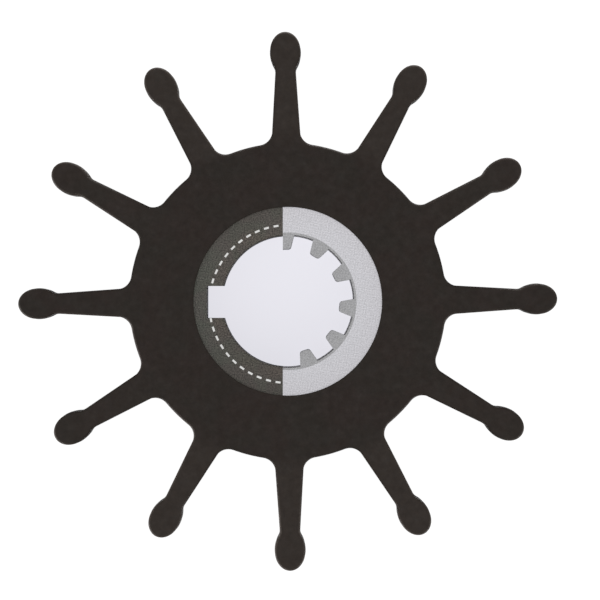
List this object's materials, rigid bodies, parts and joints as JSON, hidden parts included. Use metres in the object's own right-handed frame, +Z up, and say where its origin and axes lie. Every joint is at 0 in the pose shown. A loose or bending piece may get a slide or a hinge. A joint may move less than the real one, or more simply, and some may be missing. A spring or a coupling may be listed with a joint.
{
  "type": "rubber pump impeller",
  "caption": "Flexible rubber pump impeller with bulb-tipped radial vanes round a hub, and a bush in two halves, one with a keyway and one with spline teeth.",
  "frame": {"origin": "on the shaft axis, in the plane of the lower end face", "axes": "+Z up the shaft axis; the keyway opens towards -X and the splined half of the bush is on the +X side"},
  "size_m": [0.065, 0.065, 0.0504],
  "materials": {
    "black_rubber": "satin moulded rubber, faintly mottled",
    "dark_composite": "matt, finely speckled",
    "bright_metal": "fine even grain, duller on the lead-in cone",
    "white_fill": "matt white paint"
  },
  "bodies": {
    "root": {"rubber_body": "black_rubber", "keyed_half_bush": "dark_composite", "splined_half_bush": "bright_metal", "dash_inlays": "white_fill"}
  },
  "joints": []
}
